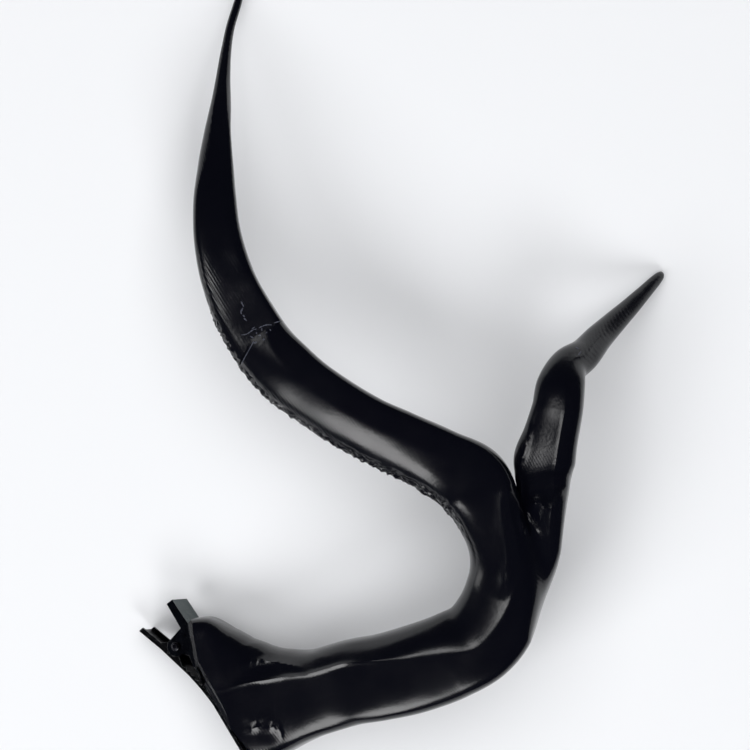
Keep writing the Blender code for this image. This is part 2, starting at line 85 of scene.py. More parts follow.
# Clip, also with its solids' sizes
CLIP_REACH = 0.046
TAB_REACH = 0.014
CLIP_RISE = 0.0084
CLIP_WIDTH = 0.010
JAW_SEAT = 0.0019
PIN_ACROSS = -0.020        # share of the horn's span
PIN_ALONG = 0.162          # share of the horn's rise
PIN_LIFT = 0.272           # share of the arch height
CLIP_TURN = radians(55.3)
CLIP_TILT = radians(28.0)
FOOT_RECESS = 0.0011
RIM_ROUND = 0.0030
RIM_RISE = 0.0030
RIM_TOP = 0.0036
RECESS_FROM = 0.0108
RECESS_TO = 0.0163
CUT_REACH = 0.060

# Fineness of the meshes
MAIN_SIDES = 120
TINE_SIDES = 88
RINGS_PER_ROW = 16
CREST_FINENESS = 1.6       # above 1, points stand closer at a section's top and bottom than at its sides

# Camera, straight over the table
CAMERA_HEIGHT = 2.0
VIEW_WIDTH = 0.2584        # what the picture spans on the table
VIEW_CENTRE = (-0.0093, -0.0016)
PICTURE_PIXELS = 750
METRES_PER_PIXEL = VIEW_WIDTH / PICTURE_PIXELS
SENSOR = 36.0              # millimetres

# Unevenness of the surface
ROOT_REACH = 0.0060        # how far the join of tine and trunk is rounded out
ROOT_PASSES = 140
STUB_REACH = 0.0022        # broken supports along the ragged edge
STUB_HEIGHT = 0.0009
STUB_GRAIN = 0.0016
STUB_FADE = 0.1            # share of the edge over which they die out at each end
WAVE_GRAIN = 0.009         # hand finishing
WAVE_HEIGHT = 0.00010
SHARP_FROM = radians(25)   # bends that stay crisp in the shading
SOFT_EDGE = 0.00012        # rounding of the clip's edges
LINE_SPACING = 0.00095     # visible print lines
LINE_TURN = radians(35)    # which way the print lines face, from +X
LINE_LEAN = 0.35           # and how far they lean, as the horn was printed on a slant
LINE_DEPTH = 0.000012

# Dried glue
BEAD_STEP = 0.00035        # length of one lump of a bead
BEAD_SIDES = 6
BEAD_RADIUS = 0.00012
CRUMB_RADIUS = 0.0002
LUMPS = 1.6                # how uneven a bead is
LUMP_RATE = 0.7            # and how fast its thickness changes, for each step
END_SHARE = 0.3            # thickness at a bead's ends

# Noise, in blobs for each metre
PATCH_SCALE = 55.0
SHEEN_SCALE = 130.0
GLOSS_SCALE = 300.0
RUB_SCALE = 500.0
DENT_SCALE = 700.0
SCUFF_SCALE = 900.0
SPECK_SCALE = 1400.0
GRAIN_SCALE = 2500.0

# Depth of the finest relief
SCUFF_DEPTH = 0.000010
DENT_DEPTH = 0.00002
GRAIN_DEPTH = 0.00003

# Colours and roughness
BLACK_PLASTIC = (0.0018, 0.0020, 0.0042, 1)
PLASTIC_ROUGHNESS = (0.17, 0.21)
GLUE_COLOUR = (0.07, 0.075, 0.10, 1)
GLUE_ROUGHNESS = 0.4
BARE_METAL = (0.40, 0.41, 0.42, 1)
METAL_ROUGHNESS = (0.26, 0.42)
WORN_EDGE = 0.0002         # how far the bare metal reaches from an edge
ARM_PAINT = (0.006, 0.007, 0.011, 1)
# painted reflection: paler paint on the upper arm's outward face, standing in for the light it catches
ARM_PAINTED_REFLECTION = (0.07, 0.085, 0.085, 1)
JAW_PAINT = (0.010, 0.010, 0.012, 1)
PIN_STEEL = (0.014, 0.014, 0.020, 1)
SPRING_STEEL = (0.015, 0.015, 0.018, 1)
TABLE_COLOUR = (0.82, 0.83, 0.85, 1)
TABLE_ROUGHNESS = 0.5
TABLE_HALF = 3.0           # half the table's side

# Room: what shows from the horizon up, by the height of the view's direction
HORIZON_LIGHT = (0.05, 0.055, 0.07, 1)
HORIZON_LEVEL = 0.10
OVERHEAD_LIGHT = (0.02, 0.02, 0.025, 1)
OVERHEAD_LEVEL = 0.75
ROOM_STRENGTH = 0.6

# Soft square lights that face the horn. Those that aren't glossy stay out of reflections, and those that
# aren't diffuse show only in them, so that each one lights one facet of the black plastic.
Light = namedtuple("Light", "name place size power glossy diffuse")
LIGHTS = [
    Light("window_glow", (-1.75, -1.50, 2.10), 1.4, 40, False, True),
    Light("window_gloss", (-1.25, -2.17, 1.82), 1.3, 32, True, False),
    Light("side_gloss", (-3.00, -0.10, 0.72), 1.0, 6, True, False),
    Light("tine_gloss", (-1.70, 0.42, 2.68), 0.6, 6, True, False),
    Light("below", (0.55, -2.20, 2.00), 1.1, 32, False, True),
    Light("ceiling", (0.0, 0.3, 2.6), 3.0, 62, False, True),
]

# A row of a branch's table, from its root to its tip. Left and right are as seen while going along it.
# across, along and lift place the centre, as shares of the horn's span, its rise and the arch height.
# wide and deep are shares of the branch's width and depth, and crest is how far right the ridge stands, as
# a share of half the width. fall_left and fall_right say how far the top falls from its ridge towards each
# side, as shares of half the depth. left, right and flat say how square the two shoulders and the underside
# are, and soft how far round the ring corners are eased.
Station = namedtuple("Station", "across along lift wide deep crest fall_left left fall_right right flat soft")

# A ridge along a line of the photograph: its height, how far it slopes down to the left and to the right as
# seen while going along it, and the share of its length over which it dies out at each end.
Crease = namedtuple("Crease", "line height left right fade")

MAIN = [
    Station(0.000, 0.078, 0.27, 2.12, 1.00, -0.28, 0.16, 1.02, 0.02, 0.90, 0.80, 0.01),
    Station(0.040, 0.085, 0.28, 2.10, 1.01, -0.24, 0.18, 1.02, 0.02, 0.90, 0.80, 0.01),
    Station(0.078, 0.089, 0.30, 2.00, 1.01, -0.20, 0.20, 1.00, 0.02, 0.90, 0.78, 0.01),
    Station(0.108, 0.0915, 0.32, 1.70, 1.00, -0.24, 0.22, 0.85, 0.02, 0.90, 0.74, 0.01),
    Station(0.142, 0.0935, 0.35, 1.44, 0.98, -0.32, 0.24, 0.66, 0.02, 1.00, 0.68, 0.01),
    Station(0.181, 0.096, 0.39, 1.26, 0.95, -0.40, 0.26, 0.62, 0.05, 1.04, 0.60, 0.01),
    Station(0.225, 0.101, 0.45, 1.09, 0.92, -0.48, 0.28, 0.60, 0.09, 1.04, 0.55, 0.01),
    Station(0.276, 0.108, 0.53, 0.97, 0.90, -0.52, 0.28, 0.60, 0.08, 1.04, 0.55, 0.01),
    Station(0.341, 0.120, 0.62, 0.96, 0.90, -0.50, 0.26, 0.60, 0.04, 1.06, 0.55, 0.01),
    Station(0.409, 0.128, 0.71, 0.97, 0.92, -0.46, 0.20, 0.52, 0.04, 1.08, 0.55, 0.02),
    Station(0.478, 0.139, 0.79, 0.99, 0.94, -0.36, 0.12, 0.54, 0.03, 1.08, 0.55, 0.04),
    Station(0.548, 0.155, 0.86, 0.98, 0.96, -0.18, 0.08, 0.55, 0.02, 1.08, 0.55, 0.04),
    Station(0.606, 0.175, 0.92, 0.96, 0.98, 0.05, 0.16, 0.50, 0.02, 1.06, 0.55, 0.03),
    Station(0.645, 0.208, 0.96, 0.94, 0.98, 0.10, 0.22, 0.52, 0.03, 1.04, 0.55, 0.03),
    Station(0.660, 0.247, 0.98, 0.86, 0.95, 0.22, 0.26, 0.56, 0.03, 1.00, 0.55, 0.03),
    Station(0.652, 0.288, 1.00, 0.73, 0.88, 0.26, 0.16, 0.62, 0.03, 1.00, 0.55, 0.03),
    Station(0.628, 0.330, 1.00, 0.76, 0.84, 0.32, 0.09, 0.72, 0.03, 0.96, 0.55, 0.03),
    Station(0.591, 0.370, 1.00, 0.86, 0.83, 0.35, 0.06, 0.78, 0.03, 0.96, 0.55, 0.03),
    Station(0.524, 0.395, 0.99, 0.77, 0.78, 0.22, 0.14, 0.64, 0.03, 1.08, 0.55, 0.05),
    Station(0.440, 0.419, 0.98, 0.73, 0.75, 0.14, 0.20, 0.52, 0.02, 1.08, 0.55, 0.05),
    Station(0.372, 0.438, 0.97, 0.71, 0.73, 0.12, 0.22, 0.50, 0.02, 1.08, 0.55, 0.05),
    Station(0.306, 0.461, 0.95, 0.71, 0.72, 0.10, 0.21, 0.50, 0.02, 1.08, 0.55, 0.05),
    Station(0.247, 0.485, 0.93, 0.71, 0.71, 0.10, 0.20, 0.52, 0.02, 1.08, 0.55, 0.05),
    Station(0.195, 0.511, 0.91, 0.73, 0.70, 0.06, 0.18, 0.56, 0.03, 1.06, 0.55, 0.05),
    Station(0.152, 0.541, 0.89, 0.69, 0.68, 0.30, 0.12, 0.70, 0.05, 0.90, 0.55, 0.03),
    Station(0.118, 0.573, 0.87, 0.67, 0.65, 0.80, 0.16, 0.98, 0.07, 0.95, 0.55, 0.02),
    Station(0.089, 0.608, 0.85, 0.62, 0.61, 0.77, 0.16, 1.00, 0.07, 0.95, 0.55, 0.02),
    Station(0.068, 0.645, 0.82, 0.58, 0.57, 0.64, 0.15, 1.00, 0.07, 0.95, 0.55, 0.02),
    Station(0.055, 0.685, 0.78, 0.53, 0.52, 0.58, 0.12, 0.98, 0.07, 0.95, 0.55, 0.02),
    Station(0.051, 0.725, 0.72, 0.48, 0.46, 0.54, 0.10, 0.92, 0.07, 0.95, 0.55, 0.02),
    Station(0.052, 0.765, 0.64, 0.40, 0.39, 0.48, 0.05, 0.78, 0.07, 0.95, 0.55, 0.02),
    Station(0.055, 0.805, 0.55, 0.31, 0.32, 0.50, 0.06, 0.70, 0.07, 0.95, 0.55, 0.02),
    Station(0.062, 0.843, 0.46, 0.23, 0.25, 0.55, 0.08, 0.64, 0.14, 0.40, 0.55, 0.02),
    Station(0.066, 0.878, 0.365, 0.165, 0.19, 0.40, 0.09, 0.60, 0.12, 0.45, 0.55, 0.02),
    Station(0.071, 0.910, 0.275, 0.125, 0.145, 0.30, 0.10, 0.55, 0.10, 0.50, 0.55, 0.02),
    Station(0.079, 0.940, 0.185, 0.102, 0.115, 0.20, 0.10, 0.55, 0.10, 0.50, 0.55, 0.02),
    Station(0.093, 0.970, 0.105, 0.094, 0.100, 0.10, 0.07, 0.55, 0.07, 0.55, 0.55, 0.02),
    Station(0.102, 0.989, 0.052, 0.070, 0.075, 0.00, 0.05, 0.55, 0.05, 0.55, 0.55, 0.02),
    Station(0.107, 0.999, 0.022, 0.028, 0.030, 0.00, 0.02, 0.55, 0.02, 0.55, 0.55, 0.02),
]

TINE = [
    Station(0.660, 0.190, 0.90, 0.70, 0.70, 0.10, 0.05, 0.55, 0.05, 0.55, 0.55, 0.03),
    Station(0.695, 0.228, 0.93, 0.82, 0.86, 0.10, 0.05, 0.55, 0.05, 0.60, 0.55, 0.03),
    Station(0.720, 0.262, 0.99, 0.78, 0.92, 0.40, 0.14, 0.55, 0.04, 0.90, 0.55, 0.03),
    Station(0.728, 0.290, 1.02, 0.84, 0.98, 0.35, 0.24, 0.55, 0.03, 0.90, 0.55, 0.02),
    Station(0.734, 0.322, 1.03, 0.84, 1.02, 0.35, 0.32, 0.52, 0.03, 0.90, 0.55, 0.02),
    Station(0.739, 0.358, 1.00, 0.92, 1.05, 0.35, 0.40, 0.50, 0.02, 0.85, 0.55, 0.015),
    Station(0.740, 0.380, 0.965, 1.02, 1.05, 0.35, 0.38, 0.50, 0.02, 0.84, 0.55, 0.015),
    Station(0.744, 0.401, 0.955, 1.10, 1.04, 0.35, 0.38, 0.50, 0.02, 0.84, 0.55, 0.015),
    Station(0.757, 0.430, 0.955, 0.98, 1.00, 0.30, 0.36, 0.52, 0.02, 0.84, 0.55, 0.015),
    Station(0.770, 0.461, 0.955, 0.91, 0.96, 0.25, 0.30, 0.56, 0.02, 0.84, 0.55, 0.015),
    Station(0.777, 0.489, 0.91, 0.87, 0.92, 0.14, 0.14, 0.60, 0.03, 0.82, 0.55, 0.03),
    Station(0.793, 0.513, 0.81, 0.70, 0.82, 0.00, 0.12, 0.60, 0.08, 0.64, 0.55, 0.02),
    Station(0.827, 0.528, 0.68, 0.60, 0.72, 0.00, 0.12, 0.62, 0.14, 0.75, 0.55, 0.01),
    Station(0.863, 0.551, 0.52, 0.50, 0.60, 0.05, 0.12, 0.62, 0.16, 0.72, 0.55, 0.01),
    Station(0.909, 0.577, 0.36, 0.39, 0.46, 0.10, 0.12, 0.60, 0.16, 0.70, 0.55, 0.01),
    Station(0.953, 0.602, 0.215, 0.29, 0.32, 0.10, 0.12, 0.58, 0.14, 0.65, 0.55, 0.01),
    Station(0.981, 0.619, 0.120, 0.23, 0.23, 0.05, 0.10, 0.55, 0.10, 0.50, 0.55, 0.02),
    Station(0.996, 0.628, 0.065, 0.17, 0.16, 0.00, 0.05, 0.55, 0.05, 0.55, 0.55, 0.02),
    Station(1.001, 0.632, 0.036, 0.09, 0.08, 0.00, 0.02, 0.55, 0.02, 0.55, 0.55, 0.02),
]

# Outer face of the clip's upper arm, as shares of its lengths and its rise
UPPER_BENDS = [(-1.00, 0.94), (-0.29, 1.00)]
UPPER_SLOPE = [(0.076, 0.63), (0.217, 0.31)]
SEAT_FROM = 0.37
JAW_FROM = 0.52

# Places read off the photograph, in its pixels, on the horn's upper side
SEAM = [(150, 410), (238, 366), (252, 338), (282, 321), (400, 270)]
GLUE_LINES = [
    [(241, 365), (245, 357), (248, 352), (254, 341)],
    [(241, 335), (247, 334), (253, 330), (257, 329)],
    [(259, 328), (266, 325), (272, 325)],
    [(274, 323), (281, 321)],
]
SEAM_CRUMBS = [
    [(252, 329), (255, 327)], [(256, 331), (257, 334)], [(250, 336), (254, 338)], [(258, 336), (261, 335)],
    [(262, 331), (262, 328)], [(266, 333), (268, 332)], [(263, 340), (265, 339)], [(270, 329), (271, 331)],
    [(254, 343), (257, 342)],
]
BEAM_SCAR = [
    [(241, 301), (243, 305), (244, 307)], [(243, 308), (241, 312), (242, 314)], [(243, 315), (245, 317)],
    [(244, 318), (247, 321)],
]
TINE_SCAR = [[(576, 347), (580, 349)], [(582, 351), (579, 355)]]
ROOT_JOIN = [(530, 548), (536, 563), (542, 582), (547, 604), (550, 625)]
ROUGH_EDGE = [
    (206, 290), (214, 315), (228, 345), (242, 372), (262, 395), (290, 418), (320, 437), (360, 457),
    (400, 478), (430, 497), (452, 517), (466, 542),
]
TRUNK_BAND = [(512, 474), (509, 488), (507, 503), (508, 520), (512, 541), (513, 558), (508, 576), (500, 600)]
FORK_LEFT_LIP = [(515, 468), (520, 478), (521, 490), (520, 505), (521, 522), (526, 538)]
FORK_RIGHT_LIP = [(529, 482), (528, 500), (527, 520), (529, 540)]
TINE_CHEVRON = [(527, 508), (533, 505), (538, 500), (544, 506), (550, 509), (557, 501), (564, 488)]
TINE_RIDGE = [(531, 424), (527, 440), (521, 462), (516, 474)]
FOOT_UPPER_FOLD = [(240, 648), (256, 643), (283, 645), (312, 653), (330, 660)]
FOOT_WEDGE = [(236, 668), (252, 662), (268, 661), (290, 665), (310, 672)]
FOOT_ARC = [(240, 726), (256, 727), (270, 726), (280, 730), (282, 740)]
NECK_FLAP = [(335, 644), (352, 640), (375, 635), (400, 628)]
BEAM_FACET = [(216, 92), (212, 120), (209, 150), (202, 175), (199, 190)]

CREASES = [
    Crease(TRUNK_BAND, 0.0015, 0.0036, 0.0060, 0.18),
    Crease(FORK_LEFT_LIP, 0.0005, 0.0008, 0.0016, 0.15),
    Crease(FORK_RIGHT_LIP, 0.0004, 0.0016, 0.0008, 0.15),
    Crease(TINE_CHEVRON, 0.0022, 0.0040, 0.0100, 0.16),
    Crease(TINE_RIDGE, 0.0005, 0.0020, 0.0024, 0.20),
    Crease(FOOT_UPPER_FOLD, 0.0006, 0.0020, 0.0040, 0.25),
    Crease(FOOT_WEDGE, 0.0008, 0.0024, 0.0026, 0.30),
    Crease(FOOT_ARC, 0.0008, 0.0012, 0.0030, 0.20),
    Crease(NECK_FLAP, 0.0005, 0.0010, 0.0040, 0.25),
    Crease(BEAM_FACET, 0.0006, 0.0014, 0.0040, 0.30),
]


def smooth_line(line):
    """A bent line with more points, on a smooth curve through its corners."""
    steps = 6
    count = (len(line) - 1) * steps
    return np.array([on_curve(line, k / steps) for k in range(count + 1)])


def to_picture(points):
    """Where points show in the photograph, in its pixels."""
    scale = METRES_PER_PIXEL * (CAMERA_HEIGHT - points[:, 2]) / CAMERA_HEIGHT
    middle = PICTURE_PIXELS / 2
    across = middle + (points[:, 0] - VIEW_CENTRE[0]) / scale
    down = middle - (points[:, 1] - VIEW_CENTRE[1]) / scale
    return np.stack([across, down], axis=1)


def plan_point(pixel, height):
    """Where a pixel of the photograph lies in plan, for a surface at that height."""
    scale = METRES_PER_PIXEL * (CAMERA_HEIGHT - height) / CAMERA_HEIGHT
    middle = PICTURE_PIXELS / 2
    return (VIEW_CENTRE[0] + (pixel[0] - middle) * scale, VIEW_CENTRE[1] - (pixel[1] - middle) * scale)


def beside(spots, line):
    """For each spot: its distance from a bent line, its side (1 right, -1 left) and its share along."""
    corners = np.asarray(line, float)
    runs = np.diff(corners, axis=0)
    lengths = np.linalg.norm(runs, axis=1)
    starts = np.concatenate([[0], np.cumsum(lengths)])
    nearest = np.full(len(spots), np.inf)
    side = np.zeros(len(spots))
    along = np.zeros(len(spots))
    for corner, run, length, start in zip(corners, runs, lengths, starts):
        offset = spots - corner
        share = np.clip(offset @ run / length ** 2, 0, 1)
        gap = np.linalg.norm(offset - share[:, None] * run, axis=1)
        nearer = gap < nearest
        turn = run[0] * offset[:, 1] - run[1] * offset[:, 0]
        nearest = np.where(nearer, gap, nearest)
        side = np.where(nearer, np.sign(turn), side)
        along = np.where(nearer, (start + share * length) / starts[-1], along)
    return nearest, side, along


def read_mesh(mesh):
    """The points of a mesh and their normals."""
    count = len(mesh.vertices)
    points = np.empty(count * 3)
    normals = np.empty(count * 3)
    mesh.vertices.foreach_get("co", points)
    mesh.vertices.foreach_get("normal", normals)
    return points.reshape(-1, 3), normals.reshape(-1, 3)


def write_mesh(mesh, points):
    """Put a mesh's points back."""
    mesh.vertices.foreach_set("co", points.ravel())
    mesh.update()


def ramp(values, low, high):
    """0 below one level, 1 above another, and straight in between."""
    return np.clip((values - low) / (high - low), 0, 1)


def fading(along, share):
    """1 in a line's middle, falling to 0 at its ends over a share of its length."""
    return np.clip(np.minimum(along, 1 - along) / share, 0, 1)


def closeness(gap, reach):
    """1 within half a reach of a line, falling to 0 at one and a half; the gap is in pixels."""
    return np.clip(1.5 - gap * METRES_PER_PIXEL / reach, 0, 1)


def crease_surface(mesh, creases):
    """Raise the upper side along each crease, crisp at its line and smooth at its foot."""
    points, normals = read_mesh(mesh)
    spots = to_picture(points)
    upper = ramp(normals[:, 2], low=0.1, high=0.4)
    rise = np.zeros(len(points))
    for crease in creases:
        gap, side, along = beside(spots, smooth_line(crease.line))
        reach = np.where(side > 0, crease.right, crease.left) / METRES_PER_PIXEL
        slope = np.clip(1 - gap / reach, 0, 1) ** 2
        rise += crease.height * slope * fading(along, crease.fade)
    points[:, 2] += rise * upper
    write_mesh(mesh, points)


def fill_join(mesh, line, reach, passes):
    """Round out the join of two branches near a line, by moving points half way towards their neighbours."""
    points, _ = read_mesh(mesh)
    ends = np.empty(len(mesh.edges) * 2, dtype=np.int32)
    mesh.edges.foreach_get("vertices", ends)
    first, second = ends.reshape(-1, 2).T
    gap, _, _ = beside(to_picture(points), smooth_line(line))
    weight = closeness(gap, reach)[:, None]
    count = len(points)
    valence = (np.bincount(first, minlength=count) + np.bincount(second, minlength=count))[:, None]
    for _ in range(passes):
        total = np.stack([np.bincount(first, points[second, axis], count)
                          + np.bincount(second, points[first, axis], count) for axis in range(3)], axis=1)
        points += (total / valence - points) * weight * 0.5
    write_mesh(mesh, points)


def lumpy_tube(surface, line, radius):
    """A bead of uneven lumps laid on the upper side along a line of the photograph."""
    spots = np.array([plan_point(pixel, ARCH_HEIGHT) for pixel in smooth_line(line)])
    lengths = np.concatenate([[0], np.cumsum(np.linalg.norm(np.diff(spots, axis=0), axis=1))])
    count = max(int(lengths[-1] / BEAD_STEP), 3)
    stops = np.linspace(0, lengths[-1], count + 1)
    path = [(np.interp(stop, lengths, spots[:, 0]), np.interp(stop, lengths, spots[:, 1])) for stop in stops]
    turns = [radians(360 / BEAD_SIDES * k) for k in range(BEAD_SIDES)]
    above = ARCH_HEIGHT * 2
    rings = []
    for i, (x, y) in enumerate(path):
        spot, facing, _, _ = surface.ray_cast(Vector((x, y, above)), Vector((0, 0, -1)))
        before, after = path[max(i - 1, 0)], path[min(i + 1, count)]
        run = Vector((after[0] - before[0], after[1] - before[1], 0)).normalized()
        side = run.cross(facing).normalized()
        lump = radius * (1 + LUMPS * noise.noise(Vector((x, y, 0)) / BEAD_STEP * LUMP_RATE))
        if i in (0, count):
            lump *= END_SHARE
        rings.append([spot + (side * cos(turn) + facing * sin(turn)) * lump for turn in turns])
    return rings


def roughen_edge(mesh, line, reach, height, grain):
    """Ragged stubs and pits on the flank along an edge, where the print's supports were broken off."""
    points, normals = read_mesh(mesh)
    gap, _, along = beside(to_picture(points), smooth_line(line))
    flank = (1 - ramp(normals[:, 2], low=0.45, high=0.75)) * ramp(normals[:, 2], low=-0.6, high=-0.3)
    weight = closeness(gap, reach) * fading(along, STUB_FADE) * flank
    fineness = 2.7
    fine_share = 0.7
    rise = np.zeros(len(points))
    for i in np.nonzero(weight > 0)[0]:
        spot = Vector(points[i]) / grain
        rise[i] = weight[i] * height * (noise.noise(spot) + fine_share * noise.noise(spot * fineness))
    write_mesh(mesh, points + normals * rise[:, None])


def wave_surface(mesh, grain, height):
    """Slight unevenness all over, as hand finishing leaves it."""
    points, normals = read_mesh(mesh)
    rise = np.array([noise.noise(Vector(point) / grain) for point in points]) * height
    write_mesh(mesh, points + normals * rise[:, None])


def add_mesh(name, mesh):
    """An object with the given mesh, in the scene."""
    item = bpy.data.objects.new(name, mesh)
    bpy.context.scene.collection.objects.link(item)
    return item


def mesh_from_rings(name, rings):
    """A closed skin over rings of equally many points, with flat ends."""
    shell = bmesh.new()
    loops = [[shell.verts.new(point) for point in ring] for ring in rings]
    for near, far in zip(loops, loops[1:]):
        count = len(near)
        for i in range(count):
            j = (i + 1) % count
            shell.faces.new((near[i], near[j], far[j], far[i]))
    shell.faces.new(list(reversed(loops[0])))
    shell.faces.new(loops[-1])
    bmesh.ops.recalc_face_normals(shell, faces=shell.faces)
    mesh = bpy.data.meshes.new(name)
    shell.to_mesh(mesh)
    shell.free()
    return mesh


def on_curve(rows, place):
    """The values at a place between rows, on a smooth curve through the rows."""
    last = len(rows) - 1
    row = min(max(int(place), 0), last - 1)
    t = place - row
    before, start, end, after = (rows[min(max(k, 0), last)] for k in range(row - 1, row + 3))
    values = []
    for p0, p1, p2, p3 in zip(before, start, end, after):
        bend = 2 * p0 - 5 * p1 + 4 * p2 - p3
        twist = 3 * (p1 - p2) + p3 - p0
        values.append(p1 + 0.5 * t * (p2 - p0 + t * (bend + t * twist)))
    return values


def horn_point(station):
    """Where a station's centre lies, in the horn's own coordinates."""
    return Vector((station.across * HORN_SPAN, station.along * HORN_RISE, station.lift * ARCH_HEIGHT))


def bezier(start, leave, arrive, end, t):
    """A point of a cubic curve in the plane."""
    s = 1 - t
    a, b, c, d = s * s * s, 3 * s * s * t, 3 * s * t * t, t * t * t
    return (a * start[0] + b * leave[0] + c * arrive[0] + d * end[0],
            a * start[1] + b * leave[1] + c * arrive[1] + d * end[1])


def outline(station, half_wide, half_deep, sides):
    """Section of the horn: right side, ridged top, left side and squared underside."""
    per_quarter = sides // 4
    crest = station.crest * half_wide
    right, left = (half_wide, 0.0), (-half_wide, 0.0)
    top, bottom = (crest, half_deep), (0.0, -half_deep)
    roofs = []
    flanks = ((right, station.right, station.fall_right), (left, station.left, station.fall_left))
    for side, full, fall in flanks:
        shoulder = (side[0], half_deep * full)
        eave = (crest + (side[0] - crest) * full, half_deep * (1 - fall))
        roofs.append((side, shoulder, eave, top))
    under = [(side, (side[0], -half_deep * station.flat), (side[0] * station.flat, -half_deep), bottom)
             for side in (left, right)]
    steps = [1 - (1 - i / per_quarter) ** CREST_FINENESS for i in range(per_quarter)]
    points = [bezier(*roofs[0], t) for t in steps]
    points += [bezier(*roofs[1], 1 - t) for t in steps]
    points += [bezier(*under[0], t) for t in steps]
    points += [bezier(*under[1], 1 - t) for t in steps]
    return points


def soften(section, reach):
    """A closed outline with its corners eased, each point a mean of those less than a reach away."""
    points = np.array(section)
    steps = range(-int(reach), int(reach) + 1)
    shares = [1 + cos(pi * step / reach) for step in steps]
    eased = sum(share * np.roll(points, step, axis=0) for share, step in zip(shares, steps))
    return (eased / sum(shares)).tolist()


def raise_lip(section, crest, height):
    """A section with a thin raised line on its crest."""
    raised = []
    for u, v in section:
        near = max(1 - abs(u - crest) / LIP_REACH, 0) ** 2
        raised.append((u, v + height * near if v > 0 else v))
    return raised


def ring_at(table, place, width, depth, sides):
    """The ring of points of a branch's section at a place in its table."""
    station = Station(*on_curve(table, place))
    step = 0.05
    ahead = horn_point(Station(*on_curve(table, min(place + step, len(table) - 1))))
    behind = horn_point(Station(*on_curve(table, max(place - step, 0))))
    forward = (ahead - behind).normalized()
    side = forward.cross(Vector((0, 0, 1))).normalized()
    up = side.cross(forward)
    centre = horn_point(station)
    half_wide = station.wide * width / 2
    half_deep = station.deep * depth / 2
    section = soften(outline(station, half_wide, half_deep, sides), station.soft * sides)
    if table is MAIN:
        lip = LIP_HEIGHT * min(max((LIP_ROWS - place) / LIP_FADE, 0), 1)
        section = raise_lip(section, station.crest * half_wide, lip)
    return [centre + side * u + up * v for u, v in section]


def branch(name, table, width, depth, sides):
    """A whole branch as one closed skin, in the horn's own coordinates."""
    count = (len(table) - 1) * RINGS_PER_ROW
    rings = [ring_at(table, k / RINGS_PER_ROW, width, depth, sides) for k in range(count + 1)]
    return mesh_from_rings(name, rings)


def prism(name, profile, low, high):
    """A closed plate: a flat outline carried from one height to another."""
    rings = [[Vector((x, y, z)) for x, y in profile] for z in (low, high)]
    return mesh_from_rings(name, rings)


def combine(target, helper, operation):
    """Apply a Boolean of a helper to an object and remove the helper."""
    modifier = target.modifiers.new(operation.lower(), "BOOLEAN")
    modifier.operation = operation
    modifier.solver = "MANIFOLD"
    modifier.object = helper
    graph = bpy.context.evaluated_depsgraph_get()
    mesh = bpy.data.meshes.new_from_object(target.evaluated_get(graph))
    target.modifiers.clear()
    old = target.data
    target.data = mesh
    mesh.name = target.name
    bpy.data.objects.remove(helper, do_unlink=True)
    bpy.data.meshes.remove(old)


def clip_matrix(hinge):
    """From the clip's flat frame to the scene's: the pin stands at the hinge."""
    tilt = Matrix.Rotation(-CLIP_TILT, 4, "Y")
    turn = Matrix.Rotation(-CLIP_TURN, 4, "Z")
    return Matrix.Translation(hinge) @ tilt @ turn


def upper_face():
    """Outer face of the clip's upper arm, from the tab's end to the jaw's tip."""
    points = [(TAB_REACH * x, CLIP_RISE * y) for x, y in UPPER_BENDS]
    points += [(CLIP_REACH * x, CLIP_RISE * y) for x, y in UPPER_SLOPE]
    points += [(CLIP_REACH * x, JAW_SEAT) for x in (SEAT_FROM, JAW_FROM, 1.0)]
    return points


def offset_line(points, distance):
    """A bent line moved sideways, to the left of its run, with its bends kept parallel."""
    least_cosine = 0.5
    moved = []
    for i, (x, y) in enumerate(points):
        before = Vector(points[max(i - 1, 0)])
        here = Vector((x, y))
        after = Vector(points[min(i + 1, len(points) - 1)])
        runs = [run.normalized() for run in (here - before, after - here) if run.length > 0]
        mean = sum(runs, Vector((0, 0))).normalized()
        stretch = 1 / max(mean.dot(runs[0]), least_cosine)
        normal = Vector((-mean.y, mean.x))
        moved.append(tuple(here + normal * distance * stretch))
    return moved


def height_on(points, x):
    """Height of a bent line at one place along it."""
    for (x0, y0), (x1, y1) in zip(points, points[1:]):
        if x0 <= x <= x1:
            return y0 + (y1 - y0) * (x - x0) / (x1 - x0)
    return points[-1][1]


def foot_cutter(hinge):
    """All that the foot leaves free: the clip's upper arm, a gap, and the head's side below it."""
    line = offset_line(upper_face()[1:], GLUE_GAP)
    wall = line[0][0]
    throat = [(x, y) for x, y in line if x < RECESS_FROM][1:]
    recess = [(x, height_on(line, x) + FOOT_RECESS) for x in (RECESS_FROM, RECESS_TO)]
    rest = [(x, y) for x, y in line if x > RECESS_TO]
    profile = [(wall, CUT_REACH), line[0]] + throat + recess + rest
    profile += [(line[-1][0] + CUT_REACH, line[-1][1]), (line[-1][0] + CUT_REACH, -CUT_REACH)]
    profile += [(wall - CUT_REACH, -CUT_REACH), (wall - CUT_REACH, CUT_REACH)]
    cutter = add_mesh("foot_cutter", prism("foot_cutter", profile, -CUT_REACH, CUT_REACH))
    cutter.data.transform(clip_matrix(hinge))
    return cutter


